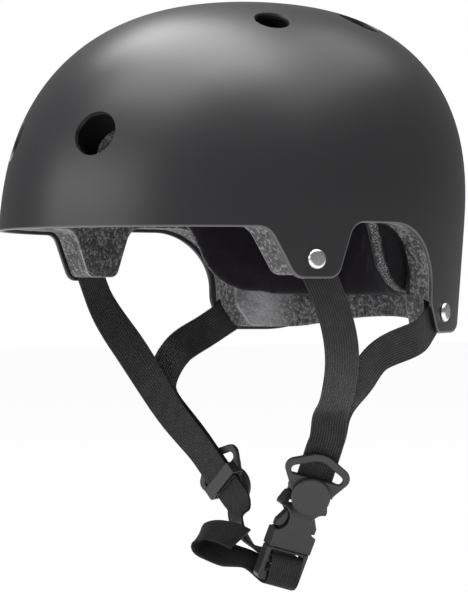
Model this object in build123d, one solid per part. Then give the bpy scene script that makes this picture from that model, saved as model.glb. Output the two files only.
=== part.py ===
from build123d import *
import math
import os

# The helmet sits over the middle of the head opening: X to the wearer's left, front to -Y, up is +Z,
# and Z is zero at the brow edge.

# Outer form of the hard shell
shell_half_width = 116.0
shell_half_length = 138.0
crown_height = 127.0
skirt_depth = 64.0
shell_wall = 2.5
crown_power = 2.45
crown_lean_share = 0.095
cut_overrun = 40.0

# Rim outline in side view: front tab, ear arch, rear tab and nape
brow_drop = 2.5
front_tab_drop = 29.0
front_tab_lead_top = -55.5
front_tab_lead_foot = -42.0
front_tab_trail_foot = -17.0
front_tab_trail_top = -6.5
arch_rise = 0.5
arch_back = 56.0
arch_back_foot = -43.0
rear_tab_drop = 58.5
rear_tab_lead_foot = 64.5
rear_tab_trail_foot = 90.0
nape_drop = 46.0
nape_back = 134.0
brow_corner = 9.0
front_tab_corner = 8.0
arch_front_corner = 9.0
arch_sweep = 34.0
arch_foot_corner = 20.0
rear_tab_corner = 6.0
nape_corner = 40.0

# Round vents, by pair: bearing in degrees from +X and height as a share of the crown
front_vent_bore = 24.0
crown_vent_bore = 18.5
rear_crown_vent_bore = 25.0
rear_vent_bore = 24.0
front_vent_bearing, front_vent_height_share = -69.0, 0.37
crown_vent_bearing, crown_vent_height_share = -23.0, 0.87
rear_crown_vent_bearing, rear_crown_vent_height_share = 28.0, 0.905
rear_vent_bearing, rear_vent_height_share = 67.0, 0.42
vent_bevel = 1.2

# Foam liner
liner_gap = 0.3
liner_side_depth = 22.0
liner_crown_depth = 26.0
liner_setback = 2.0
strap_channel_depth = 5.6
strap_channel_spare = 3.0

# Comfort pads, with the hook dots that hold them
pad_thickness = 10.0
pad_edge = 4.0
rear_pad_edge = 8.0
pad_end_share = 0.55
rear_pad_end_share = 0.9
pad_back_gap = 0.9
pad_high = 34.0
brow_pad_low = 3.0
temple_pad_low = 5.0
rear_pad_ear_low = 3.0
rear_pad_low = -38.0
rear_pad_ear_bearing = 9.0
rear_pad_low_bearing = 34.0
crown_pad_radius = 44.0
crown_pad_thickness = 12.0
crown_pad_length = 52.0
dot_diameter = 7.0
dot_thickness = 0.35
dot_seat_gap = 0.4

# Rivets that hold the straps to the shell
rivet_head_diameter = 10.7
rivet_head_height = 2.2
rivet_shank_diameter = 4.0
rivet_hole_diameter = 4.5
rivet_tail_diameter = 6.4
rivet_tail_height = 1.0
washer_diameter = 12.0
washer_thickness = 0.8
stack_gap = 0.25
front_rivet_bearing, front_rivet_drop = -12.0, 18.9
rear_rivet_bearing, rear_rivet_drop = 33.3, 46.8

# Webbing
strap_width = 20.0
strap_thickness = 1.6
strap_seat = 0.7
strap_step = 7.0
fold_step = 2.5
strap_top_margin = 9.0
strap_seat_lengths = (-9.0, 0.0, 8.0, 16.0, 22.0)
strap_straight_length = 26.0
layer_gap = 0.4

# Where the two side dividers hang, and how they are turned
left_divider_side, left_divider_back, left_divider_drop = 48.0, 16.5, 148.0
right_divider_side, right_divider_back, right_divider_drop = -28.0, 18.0, 148.0
left_face_shares, left_up_shares = (0.82, -0.52, -0.24), (0.342, 0.11, 0.932)
right_face_shares, right_up_shares = (-0.2, 0.97, 0.05), (-0.66, -0.17, 0.73)

# Middle of each strap between its seat and its divider, and the way it leaves the rivet
front_lead_shares = (0, 0.45, -0.89)
rear_lead_shares = (0, -0.88, -0.47)
left_front_route = (
    (104.3, -6.2, -68.0),
    (89.6, 4.1, -85.0),
    (74.7, 12.7, -98.0),
    (64.2, 17.7, -108.0),
    (58.8, 20.5, -115.6),
)
left_rear_route = (
    (95.0, 26.0, -71.0),
    (85.8, 21.1, -84.0),
    (71.2, 20.6, -97.0),
    (61.0, 21.8, -108.0),
    (56.0, 23.0, -115.6),
)
right_front_route = ((-103.3, -4.3, -68.0), (-84.9, 0.5, -90.0), (-66.1, 2.6, -108.0), (-55.5, 5.3, -118.0))
right_rear_route = ((-95.0, 26.0, -71.0), (-82.5, 6.8, -95.0), (-67.4, 5.6, -108.0), (-56.0, 8.0, -117.8))

# Chin webbing across to the plug, and the tail that folds back from it
chin_route = ((-15.5, 14.0, -166.0), (-4.0, 12.0, -175.0), (10.0, 10.0, -181.5))
tail_route = (
    (8.3, 6.3, -191.8),
    (-4.8, -1.5, -190.0),
    (-13.7, -8.6, -187.0),
    (-18.3, -13.3, -182.0),
    (-14.0, -10.9, -177.0),
    (-7.1, -4.7, -176.2),
)
tail_normal_shares = (
    (-0.3, 0.1, -0.9),
    (-0.32, 0.4, -0.83),
    (-0.5, 0.2, -0.8),
    (-0.8, -0.58, 0.1),
    (0.1, -0.45, 0.88),
    (0.3, -0.4, 0.87),
)

# Divider plate, its sleeve and its round cap
plate_thickness = 3.0
plate_corner_side = 13.0
plate_corner_rise = 13.5
plate_corner_radius = 5.5
plate_foot_radius = 9.0
plate_bow_radius = 14.0
plate_bow_rise = 10.5
plate_bar = 4.5
slot_corner_side = 12.2
slot_corner_rise = 12.4
slot_corner_radius = 2.6
slot_foot_rise = 10.0
cap_diameter = 21.7
cap_thickness = 3.6
cap_edge_radius = 1.2
cap_gap = 0.2
sleeve_foot = 0.5
sleeve_rise = 8.5
sleeve_wall = 2.0
sleeve_clearance = 0.7

# Side-release buckle, along its own axis from the mouth
buckle_axis_shares = (0.258, 0.232, 0.937)
buckle_width_shares = (0.12, 0.955, -0.27)
buckle_set_behind = 11.0
buckle_set_below = 3.0
socket_length = 33.0
socket_thickness = 9.0
socket_neck_thickness = 6.0
socket_mouth_width = 27.0
socket_shoulder_width = 31.0
socket_shoulder_rise = 26.0
socket_top_width = 25.5
socket_corner = 3.0
socket_bar = 3.0
socket_slot_height = 4.0
slot_clearance = 0.5
window_rise = 17.0
window_half_height = 7.0
window_side = 15.6
window_depth = 8.6
throat_width = 23.0
throat_height = 5.4
throat_length = 27.0
edge_round = 0.8

# Plug: the ladder base outside the mouth, the guide tongue and the two sprung prongs
plug_length = 24.0
plug_width = 27.0
plug_thickness = 7.0
mouth_gap = 0.3
plug_bar = 3.4
plug_slot_height = 4.6
plug_slot_width = 21.4
plug_first_slot = 6.0
tongue_width = 6.0
tongue_length = 17.0
tongue_thickness = 4.4
prong_thickness = 4.6
prong_root_inner = 5.0
prong_root_outer = 9.4
prong_neck = 10.6
prong_barb = 13.0
prong_catch_rise = 11.8
prong_shoulder_rise = 15.2
prong_tip_rise = 22.8
prong_tip_side = 8.4
prong_hinge_gap = 0.3


def unit(shares):
    return Vector(*shares).normalized()


def dome_spread(rise_share):
    """Half width of the dome at a share of its height, as a share of its greatest half width."""
    return (1 - rise_share**crown_power) ** (1 / crown_power)


def oval(half_width, half_length, z):
    """Level oval section, moved back by the lean of the crown."""
    count = 12
    points = []
    for step in range(count):
        angle = step / count * math.tau
        points.append((half_width * math.cos(angle), half_length * math.sin(angle)))
    plane = Plane(origin=(0, crown_lean_share * z, z))
    return make_face(plane * Spline(*points, periodic=True))


def dome(side_inset, crown_inset, depth):
    """Solid dome under a face that lies an inset inside the shell's outer face."""
    half_width = shell_half_width - side_inset
    half_length = shell_half_length - side_inset
    height = crown_height - crown_inset
    sections = []
    for share in (1, 2 / 3, 1 / 3):
        if depth:
            sections.append(oval(half_width, half_length, -depth * share))
    for degrees in (0, 8, 18, 30, 42, 54, 65, 74, 81, 86, 89):
        angle = math.radians(degrees)
        spread = math.cos(angle) ** (2 / crown_power)
        z = height * math.sin(angle) ** (2 / crown_power)
        sections.append(oval(half_width * spread, half_length * spread, z))
    return Part(loft(sections).wrapped)


def rim_cutter(setback):
    """Everything under the rim, as a side outline drawn right across the helmet."""
    reach = shell_half_length + cut_overrun
    floor = -skirt_depth - cut_overrun
    corners = (
        (-reach, -brow_drop, 0),
        (front_tab_lead_top, -brow_drop, brow_corner),
        (front_tab_lead_foot, -front_tab_drop, front_tab_corner),
        (front_tab_trail_foot, -front_tab_drop, front_tab_corner),
        (front_tab_trail_top, arch_rise, arch_front_corner),
        (arch_back, arch_rise, arch_sweep),
        (arch_back, arch_back_foot, arch_foot_corner),
        (rear_tab_lead_foot, -rear_tab_drop, rear_tab_corner),
        (rear_tab_trail_foot, -rear_tab_drop, nape_corner),
        (nape_back, -nape_drop, 0),
        (reach, -nape_drop, 0),
        (reach, floor, 0),
        (-reach, floor, 0),
    )
    face = make_face(Polyline(*[(y, z) for y, z, radius in corners], close=True))
    for y, z, radius in corners:
        if radius:
            corner = face.vertices().sort_by_distance((y, z, 0))[0]
            face = fillet(corner, radius)
    if setback:
        face = offset(face, setback)
    return extrude(Plane.YZ * face, amount=shell_half_width + cut_overrun, both=True)


def wall_plane(bearing, z, inset=0, side_inset=0, crown_inset=0):
    """Plane on a dome's face, moved inwards by an inset: Z square to the face and out, Y up."""
    half_width = shell_half_width - side_inset
    half_length = shell_half_length - side_inset
    height = crown_height - crown_inset
    rise_share = max(z, 0) / height
    spread = dome_spread(rise_share)
    across, along = math.cos(math.radians(bearing)), math.sin(math.radians(bearing))
    place = Vector(half_width * spread * across, half_length * spread * along + crown_lean_share * z, z)
    slope = spread ** (crown_power - 1)
    out_x, out_y = slope * across / half_width, slope * along / half_length
    out_z = rise_share ** (crown_power - 1) / height - crown_lean_share * out_y
    out = Vector(out_x, out_y, out_z).normalized()
    return Plane(origin=place - out * inset, x_dir=Vector(0, 0, 1).cross(out), z_dir=out)


def vent_cutters(bevel):
    """Bores square to the dome, in pairs, with a bevelled mouth in the shell."""
    pairs = (
        (front_vent_bore, front_vent_bearing, front_vent_height_share),
        (crown_vent_bore, crown_vent_bearing, crown_vent_height_share),
        (rear_crown_vent_bore, rear_crown_vent_bearing, rear_crown_vent_height_share),
        (rear_vent_bore, rear_vent_bearing, rear_vent_height_share),
    )
    cutters = []
    for bore, bearing, rise_share in pairs:
        for turn in (bearing, 180 - bearing):
            mouth = wall_plane(turn, crown_height * rise_share)
            length = liner_crown_depth * 2 + cut_overrun / 2
            cutters.append(mouth * Cylinder(bore / 2, length))
            if bevel:
                cutters.append(mouth * Cone(bore / 2, bore / 2 + vent_bevel * 2, vent_bevel * 2))
    return cutters


def rivet_plane(bearing, drop, side):
    """Plane on the shell's face at a rivet, with Z out and Y up."""
    return wall_plane(bearing if side > 0 else 180 - bearing, -drop)


def rivet_seats():
    """Each rivet's plane, and the way its strap leaves it."""
    seats = []
    for side in (1, -1):
        front = rivet_plane(front_rivet_bearing, front_rivet_drop, side)
        rear = rivet_plane(rear_rivet_bearing, rear_rivet_drop, side)
        seats.append((front, Vector(*front_lead_shares)))
        seats.append((rear, Vector(*rear_lead_shares)))
    return seats


def outer_shell():
    wall = dome(0, 0, skirt_depth) - dome(shell_wall, shell_wall, skirt_depth + cut_overrun / 4)
    holes = [plane * Cylinder(rivet_hole_diameter / 2, cut_overrun / 2) for plane, lead in rivet_seats()]
    return wall - rim_cutter(0) - vent_cutters(True) - holes


def strap_channels():
    """Room for the strap ends and rivet tails between shell and liner."""
    width = strap_width + strap_channel_spare
    length = skirt_depth + strap_top_margin + strap_channel_spare
    channels = []
    for plane, lead in rivet_seats():
        run = (lead - plane.z_dir * lead.dot(plane.z_dir)).normalized()
        block = Box(length, width, cut_overrun, align=(Align.MIN, Align.CENTER, Align.MIN))
        floor = plane.origin - run * (strap_top_margin + strap_channel_spare)
        floor -= plane.z_dir * (shell_wall + strap_channel_depth)
        channels.append(Plane(origin=floor, x_dir=run, z_dir=plane.z_dir) * block)
    return channels


def foam_liner():
    block = dome(shell_wall + liner_gap, shell_wall + liner_gap, skirt_depth)
    block -= dome(liner_side_depth, liner_crown_depth, skirt_depth + cut_overrun / 4)
    return block - rim_cutter(liner_setback) - vent_cutters(False) - strap_channels()


def cavity_plane(bearing, z, gap):
    """Plane on the liner's inner face, moved inwards by a gap, with Z out."""
    return wall_plane(bearing, z, gap, liner_side_depth, liner_crown_depth)


def ring_pad(bearing_from, bearing_to, low_at, edge=pad_edge, end_share=pad_end_share):
    """Cushion lying round the inside of the liner, swollen in the middle and drawn in at its ends."""
    degrees_each = 12
    steps = round((bearing_to - bearing_from) / degrees_each)
    sections = []
    for step in range(steps + 1):
        share = step / steps
        swell = end_share + (1 - end_share) * math.sin(share * math.pi) ** 0.5
        bearing = bearing_from + (bearing_to - bearing_from) * share
        low = low_at(bearing)
        middle, half = (low + pad_high) / 2, (pad_high - low) / 2 * swell
        foot = cavity_plane(bearing, middle - half, pad_back_gap)
        top = cavity_plane(bearing, middle + half, pad_back_gap)
        inward = -(foot.z_dir + top.z_dir).normalized()
        front_foot = foot.origin + inward * edge * swell
        front_top = top.origin + inward * pad_edge * swell
        belly = (foot.origin + top.origin) / 2 + inward * pad_thickness * swell
        outline = [
            Line(front_foot, foot.origin),
            Line(foot.origin, top.origin),
            Line(top.origin, front_top),
            ThreePointArc(front_top, belly, front_foot),
        ]
        sections.append(Face(Wire(outline)))
    return Part(loft(sections).wrapped)


def rear_pad_foot(bearing):
    """Foot of the rear pad: level round the nape, and rising to the ear arch at both ends."""
    from_ear = min(bearing, 180 - bearing) - rear_pad_ear_bearing
    share = min(from_ear / (rear_pad_low_bearing - rear_pad_ear_bearing), 1)
    return rear_pad_ear_low + (rear_pad_low - rear_pad_ear_low) * share


def pads():
    rear_ends = (rear_pad_ear_bearing, 180 - rear_pad_ear_bearing)
    return {
        "brow_pad": ring_pad(-128, -52, lambda bearing: brow_pad_low),
        "temple_pad_left": ring_pad(-44, 3, lambda bearing: temple_pad_low),
        "temple_pad_right": ring_pad(177, 224, lambda bearing: temple_pad_low),
        "nape_pad": ring_pad(*rear_ends, rear_pad_foot, rear_pad_edge, rear_pad_end_share),
        "crown_pad": crown_pad(),
    }


def crown_pad():
    """Oval cushion under the top of the liner, as deep all over."""
    cushion = dome(liner_side_depth + pad_back_gap, liner_crown_depth + pad_back_gap, 0)
    depth = pad_back_gap + crown_pad_thickness
    cushion -= dome(liner_side_depth + depth, liner_crown_depth + depth, crown_pad_thickness)
    outline = Pos(0, crown_lean_share * crown_height) * Ellipse(crown_pad_radius, crown_pad_length)
    return cushion & extrude(outline, amount=crown_height)


def pad_dots():
    """Hook dots between the liner and each pad."""
    dots = []
    for bearing in (-110, -70, -32, -9, 189, 212, 60, 120):
        seat = cavity_plane(bearing, pad_high / 2, dot_seat_gap + dot_thickness / 2)
        dots.append(seat * Cylinder(dot_diameter / 2, dot_thickness))
    return Compound(children=dots)


def strap_rivets():
    """Domed rivets with a shank and a flattened tail, one through each strap end."""
    grip = shell_wall + strap_seat + strap_thickness + washer_thickness + stack_gap * 3
    rivets = []
    for plane, lead in rivet_seats():
        head = Cylinder(rivet_head_diameter / 2, rivet_head_height, align=(Align.CENTER, Align.CENTER, Align.MIN))
        head = fillet(head.edges().group_by(Axis.Z)[-1], rivet_head_height - stack_gap)
        shank_length = grip + stack_gap + rivet_tail_height
        shank = Cylinder(rivet_shank_diameter / 2, shank_length, align=(Align.CENTER, Align.CENTER, Align.MAX))
        tail = Cylinder(rivet_tail_diameter / 2, rivet_tail_height, align=(Align.CENTER, Align.CENTER, Align.MAX))
        rivet = head + shank + Pos(0, 0, -grip - stack_gap) * tail
        rivets.append(plane * Pos(0, 0, stack_gap) * rivet)
    return Compound(children=rivets)


def rivet_washers():
    washers = []
    depth = shell_wall + strap_seat + strap_thickness + stack_gap * 2 + washer_thickness / 2
    for plane, lead in rivet_seats():
        ring = Cylinder(washer_diameter / 2, washer_thickness)
        ring -= Cylinder(rivet_shank_diameter / 2 + stack_gap, washer_thickness * 2)
        washers.append(plane.offset(-depth) * ring)
    return Compound(children=washers)


def normal_between(stations, reaches, reach):
    """Way the face looks part of the way along, turned evenly from station to station."""
    for index in range(len(reaches) - 1):
        if reach <= reaches[index + 1]:
            break
    share = (reach - reaches[index]) / (reaches[index + 1] - reaches[index])
    return stations[index][1] * (1 - share) + stations[index + 1][1] * share


def band(stations, step_length=strap_step):
    """Flat webbing through stations, each a place and the way its face looks."""
    places = [place for place, normal in stations]
    ends = ((places[1] - places[0]).normalized(), (places[-1] - places[-2]).normalized())
    path = Spline(*places, tangents=ends)
    reaches = [0]
    for before, after in zip(places, places[1:]):
        reaches.append(reaches[-1] + (after - before).length)
    steps = round(path.length / step_length)
    sections = []
    for step in range(steps + 1):
        along = path.length * step / steps
        ahead = path.tangent_at(along, position_mode=PositionMode.LENGTH)
        spot = path.position_at(along, position_mode=PositionMode.LENGTH)
        normal = normal_between(stations, reaches, reaches[-1] * step / steps)
        plane = Plane(origin=spot, x_dir=ahead.cross(normal), z_dir=ahead)
        sections.append((plane * Rectangle(strap_width, strap_thickness)).face())
    return Part(loft(sections).wrapped)


def seat_stations(plane, lead):
    """Strap end lying behind the shell at a rivet, and its run to the rim."""
    run = (lead - plane.z_dir * lead.dot(plane.z_dir)).normalized()
    stations = []
    for length in strap_seat_lengths:
        spot = plane.origin + run * length
        back = (spot.Y - crown_lean_share * spot.Z) / shell_half_length
        bearing = math.degrees(math.atan2(back, spot.X / shell_half_width))
        seat = wall_plane(bearing, spot.Z, shell_wall + strap_seat + strap_thickness / 2)
        stations.append((seat.origin, seat.z_dir))
    return stations


def divider_frame(side):
    """Place, face direction, up direction and width direction of a side divider."""
    if side > 0:
        place = Vector(left_divider_side, left_divider_back, -left_divider_drop)
        face, up = unit(left_face_shares), unit(left_up_shares)
    else:
        place = Vector(right_divider_side, right_divider_back, -right_divider_drop)
        face, up = unit(right_face_shares), unit(right_up_shares)
    up = (up - face * up.dot(face)).normalized()
    return place, face, up, up.cross(face)


def layer_offset(layer):
    """How far behind the divider's middle plane a layer of webbing runs."""
    return plate_thickness / 2 + layer_gap + strap_thickness / 2 + layer * (strap_thickness + layer_gap)


def strap(side, plane, lead, route, layer):
    """One strap from its rivet to the sleeve of the divider on its side."""
    stations = seat_stations(plane, lead)
    place, face, up, across = divider_frame(side)
    start_normal = stations[-1][1]
    for index, spot in enumerate(route):
        share = math.sqrt((index + 1) / (len(route) + 1))
        stations.append((Vector(*spot), start_normal * (1 - share) + face * share))
    foot = place - face * layer_offset(layer) + up * sleeve_foot
    for share in (1, 0.5, 0):
        stations.append((foot + up * strap_straight_length * share, face))
    return band(stations)


def straps(side):
    """The front and the rear strap of one side, with the rivet hole through each."""
    front_plane = rivet_plane(front_rivet_bearing, front_rivet_drop, side)
    rear_plane = rivet_plane(rear_rivet_bearing, rear_rivet_drop, side)
    front_route = left_front_route if side > 0 else right_front_route
    rear_route = left_rear_route if side > 0 else right_rear_route
    front_layer, rear_layer = (0, 1) if side > 0 else (1, 0)
    front = strap(side, front_plane, Vector(*front_lead_shares), front_route, front_layer)
    rear = strap(side, rear_plane, Vector(*rear_lead_shares), rear_route, rear_layer)
    hole = Cylinder(rivet_hole_diameter / 2, cut_overrun / 2)
    return front - front_plane * hole, rear - rear_plane * hole


def divider_plane(side):
    place, face, up, across = divider_frame(side)
    return Plane(origin=place, x_dir=across, z_dir=face)


def divider(side):
    """Rounded triangular plate with its wide slot, and the sleeve behind it that the straps run in."""
    corner = Pos(plate_corner_side, plate_corner_rise) * Circle(plate_corner_radius)
    other = Pos(-plate_corner_side, plate_corner_rise) * Circle(plate_corner_radius)
    bow = Pos(0, plate_bow_rise) * Circle(plate_bow_radius)
    outline = make_hull([e for c in (corner, other, bow, Circle(plate_foot_radius)) for e in c.edges()])
    plate = extrude(outline, amount=plate_thickness / 2, both=True)
    slot_corner = Pos(slot_corner_side, slot_corner_rise) * Circle(slot_corner_radius)
    slot_other = Pos(-slot_corner_side, slot_corner_rise) * Circle(slot_corner_radius)
    slot_bow = Pos(0, plate_bow_rise) * Circle(plate_bow_radius - plate_bar)
    slot = make_hull([e for c in (slot_corner, slot_other, slot_bow) for e in c.edges()])
    above = Pos(0, slot_foot_rise) * Rectangle(cut_overrun, cut_overrun, align=(Align.CENTER, Align.MIN))
    slot_face = Face(slot.face().outer_wire()) if not isinstance(slot, Face) else slot
    plate -= extrude(Sketch() + slot_face & above, amount=plate_thickness, both=True)
    inside = strap_width + sleeve_clearance * 2
    reach = layer_offset(1) + strap_thickness / 2 + layer_gap + sleeve_wall
    height = sleeve_rise - sleeve_foot
    box = Box(inside + sleeve_wall * 2, height, reach, align=(Align.CENTER, Align.MIN, Align.MAX))
    room = Box(inside, height * 3, reach - sleeve_wall, align=(Align.CENTER, Align.CENTER, Align.MAX))
    sleeve = Pos(0, sleeve_foot, 0) * box - room
    return divider_plane(side) * (plate + sleeve)


def divider_cap(side):
    """Round bare cap on the front of the divider."""
    cap = Cylinder(cap_diameter / 2, cap_thickness, align=(Align.CENTER, Align.CENTER, Align.MIN))
    cap = fillet(cap.edges().group_by(Axis.Z)[-1], cap_edge_radius)
    return divider_plane(side) * Pos(0, 0, plate_thickness / 2 + cap_gap) * cap


def buckle_plane():
    """Buckle frame at the mouth of the socket: Y up into the socket, Z out of its face."""
    up = unit(buckle_axis_shares)
    width = unit(buckle_width_shares)
    width = (width - up * width.dot(up)).normalized()
    out = width.cross(up)
    place, face, divider_up, across = divider_frame(1)
    top = place - face * buckle_set_behind - up * buckle_set_below
    return Plane(origin=top - up * socket_length, x_dir=width, z_dir=out)


def side_profile(points):
    """Solid between mirrored side heights, drawn right across the buckle's width."""
    lower = [(y, -z) for y, z in reversed(points)]
    face = make_face(Polyline(*points, *lower, close=True))
    return extrude(Plane.YZ * face, amount=cut_overrun, both=True)


def buckle_socket():
    """Female half: shouldered body with a throat, side windows for the prongs and a webbing bar."""
    half_mouth, half_shoulder = socket_mouth_width / 2, socket_shoulder_width / 2
    half_top = socket_top_width / 2
    right = [
        (half_mouth, 0),
        (half_mouth, window_rise),
        (half_shoulder, socket_shoulder_rise),
        (half_top, socket_length),
    ]
    left = [(-x, y) for x, y in reversed(right)]
    outline = make_face(Polyline(*right, *left, close=True))
    outline = fillet(outline.vertices().group_by(Axis.Y)[-1], socket_corner)
    body = extrude(outline, amount=socket_thickness / 2, both=True)
    body &= side_profile([
        (0, socket_thickness / 2 - edge_round / 2),
        (edge_round, socket_thickness / 2),
        (socket_shoulder_rise - window_half_height, socket_thickness / 2),
        (socket_shoulder_rise, socket_neck_thickness / 2),
        (socket_length, socket_neck_thickness / 2),
    ])
    throat = Box(throat_width, throat_length * 2, throat_height)
    window = extrude(Ellipse(window_depth, window_half_height), amount=socket_thickness, both=True)
    body -= throat
    body -= Pos(window_side, window_rise) * window
    body -= Pos(-window_side, window_rise) * window
    slot_rise = socket_length - socket_bar - socket_slot_height / 2
    slot_width = strap_width + slot_clearance * 2
    body -= Pos(0, slot_rise) * Box(slot_width, socket_slot_height, socket_thickness)
    return buckle_plane() * body


def buckle_plug():
    """Male half: ladder base with two webbing slots, and the guide tongue."""
    base = Box(plug_width, plug_length, plug_thickness, align=(Align.CENTER, Align.MAX, Align.CENTER))
    base = fillet(base.edges().filter_by(Axis.Z).group_by(Axis.Y)[0], socket_corner)
    base = Pos(0, -mouth_gap) * base
    for index in range(2):
        rise = -plug_first_slot - index * (plug_slot_height + plug_bar) - plug_slot_height / 2
        base -= Pos(0, rise) * Box(plug_slot_width, plug_slot_height, plug_thickness * 2)
    tongue = Box(tongue_width, tongue_length + mouth_gap, tongue_thickness, align=(Align.CENTER, Align.MIN, Align.CENTER))
    tongue = Pos(0, -mouth_gap) * tongue
    return buckle_plane() * (base + tongue)


def prong(side):
    """Sprung prong with the barb that catches under the socket's window."""
    points = [
        (prong_root_inner, prong_hinge_gap),
        (prong_root_outer, prong_hinge_gap),
        (prong_neck, prong_catch_rise - prong_hinge_gap),
        (prong_barb, prong_catch_rise),
        (prong_barb, prong_shoulder_rise),
        (prong_tip_side, prong_tip_rise),
        (prong_tip_side - tongue_width / 3, prong_tip_rise - tongue_width / 3),
        (prong_root_inner + tongue_width / 3, prong_catch_rise),
    ]
    outline = make_face(Polyline(*[(x * side, y) for x, y in points], close=True))
    body = extrude(outline, amount=prong_thickness / 2, both=True)
    return buckle_plane() * body


def chin_strap_left():
    """Webbing folded over the socket's bar, both ends rising behind the left divider."""
    frame = buckle_plane()
    bar_rise = socket_length - socket_bar
    beside = socket_neck_thickness / 2 + layer_gap + strap_thickness / 2
    slot_rise = bar_rise - layer_gap - strap_thickness / 2
    points = (
        (socket_length + socket_bar / 2, beside, 0, 1),
        (bar_rise, beside, -0.3, 1),
        (slot_rise, beside * 0.7, -1, 1),
        (slot_rise - layer_gap, 0, -1, 0),
        (slot_rise, -beside * 0.7, -1, -1),
        (bar_rise, -beside, -0.3, -1),
        (socket_length + socket_bar * 3, -beside, 0, -1),
    )
    stations = []
    for rise, out, rise_share, out_share in points:
        spot = frame.origin + frame.y_dir * rise + frame.z_dir * out
        stations.append((spot, frame.y_dir * rise_share + frame.z_dir * out_share))
    return band(stations, fold_step)


def plug_slot_rises():
    first = -plug_first_slot - plug_slot_height / 2
    return first, first - plug_slot_height - plug_bar


def chin_strap_right():
    """Webbing from the right divider across under the chin to the upper slot of the plug."""
    place, face, up, across = divider_frame(-1)
    frame = buckle_plane()
    start = place - face * (layer_offset(0) + layer_offset(1)) / 2
    stations = []
    for length in (0, plate_foot_radius * 2 / 3, plate_foot_radius * 4 / 3):
        stations.append((start - up * length, face))
    for index, spot in enumerate(chin_route):
        share = (index + 1) / (len(chin_route) + 1)
        stations.append((Vector(*spot), face * (1 - share) + frame.y_dir * share))
    slot = frame.origin + frame.y_dir * plug_slot_rises()[0]
    for depth in (plug_thickness, plug_thickness / 2, layer_gap / 2):
        stations.append((slot - frame.z_dir * depth, frame.y_dir))
    return band(stations, fold_step * 2)


def strap_tail():
    """Webbing over the plug's middle bar, and its free end folded back behind the buckle."""
    frame = buckle_plane()
    upper, lower = plug_slot_rises()
    over = plug_thickness / 2 + layer_gap + strap_thickness / 2
    middle = (upper + lower) / 2
    points = (
        (upper, layer_gap / 2, 1, 0),
        (upper - layer_gap, plug_thickness / 2, 1, 0.3),
        ((upper * 2 + middle) / 3, over, 1, 1),
        (middle, over + layer_gap / 2, 0, 1),
        ((lower * 2 + middle) / 3, over, -1, 1),
        (lower + layer_gap, plug_thickness / 2, -1, 0.3),
        (lower, 0, -1, 0),
        (lower, -plug_thickness, -1, 0),
    )
    stations = []
    for rise, out, rise_share, out_share in points:
        spot = frame.origin + frame.y_dir * rise + frame.z_dir * out
        stations.append((spot, frame.y_dir * rise_share + frame.z_dir * out_share))
    for spot, normal in zip(tail_route, tail_normal_shares):
        stations.append((Vector(*spot), Vector(*normal)))
    return band(stations, fold_step)


def export(name, part):
    export_step(part, os.path.join("parts", name + ".step"))


def main():
    os.makedirs("parts", exist_ok=True)
    export("outer_shell", outer_shell())
    export("foam_liner", foam_liner())
    for name, pad in pads().items():
        export(name, pad)
    export("pad_hook_dots", pad_dots())
    export("strap_rivets", strap_rivets())
    export("rivet_washers", rivet_washers())
    for side, hand in ((1, "left"), (-1, "right")):
        front, rear = straps(side)
        export("front_strap_" + hand, front)
        export("rear_strap_" + hand, rear)
        export("divider_" + hand, divider(side))
        export("divider_cap_" + hand, divider_cap(side))
    export("buckle_socket", buckle_socket())
    export("buckle_plug", buckle_plug())
    export("prong_rear", prong(1))
    export("prong_front", prong(-1))
    export("chin_strap_left", chin_strap_left())
    export("chin_strap_right", chin_strap_right())
    export("strap_tail", strap_tail())


main()
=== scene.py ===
import bpy
import bmesh
import math
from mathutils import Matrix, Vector


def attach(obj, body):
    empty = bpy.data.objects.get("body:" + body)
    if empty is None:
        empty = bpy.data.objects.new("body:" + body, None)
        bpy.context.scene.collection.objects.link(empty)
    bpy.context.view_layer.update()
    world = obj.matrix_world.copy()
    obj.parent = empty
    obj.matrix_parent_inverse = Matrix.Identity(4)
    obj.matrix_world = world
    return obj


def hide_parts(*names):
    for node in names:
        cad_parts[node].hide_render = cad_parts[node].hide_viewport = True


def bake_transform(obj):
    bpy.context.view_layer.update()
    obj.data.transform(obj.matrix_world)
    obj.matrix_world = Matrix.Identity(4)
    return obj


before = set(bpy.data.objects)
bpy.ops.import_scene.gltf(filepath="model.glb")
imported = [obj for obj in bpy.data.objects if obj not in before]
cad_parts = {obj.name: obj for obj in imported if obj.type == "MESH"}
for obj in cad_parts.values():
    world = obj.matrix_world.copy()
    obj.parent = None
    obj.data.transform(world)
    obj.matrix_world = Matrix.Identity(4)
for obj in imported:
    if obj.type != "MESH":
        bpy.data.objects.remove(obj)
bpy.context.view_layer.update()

bpy.ops.object.select_all(action="DESELECT")
scene = bpy.context.scene
mm = 0.001               # lengths below are in millimetres, but for the camera, the studio and the materials

# camera at the photograph's viewing angle, and soft studio lamps
camera = {
    "azimuth": 54, "distance": 1.3, "height": -0.038,
    "lens": 139.9, "sensor": 36, "shiftX": -0.0017, "clip": (0.05, 60),
}
studio = {
    "aim": (0, 0, 0.04),
    # lamp: (place, size, power)
    "lamps": {
        "topLight": ((-0.2, 0, 1.6), (0.75, 2.2), 40),
        "frontLight": ((-0.1, -1.55, 0.45), (1.8, 0.5), 10),
        "highLight": ((0.05, -0.7, 1.45), (1.3, 0.85), 15),
        "rearLight": ((0.5, 0.65, 1.35), (1.9, 0.8), 10.5),
    },
    "fill": 0.2, "floorHeight": -0.25, "floorSize": 14, "floorGlow": 0.97,
    "floor": {"color": (0.86, 0.86, 0.86), "roughness": 0.9, "specular": 0.1},
}


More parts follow.
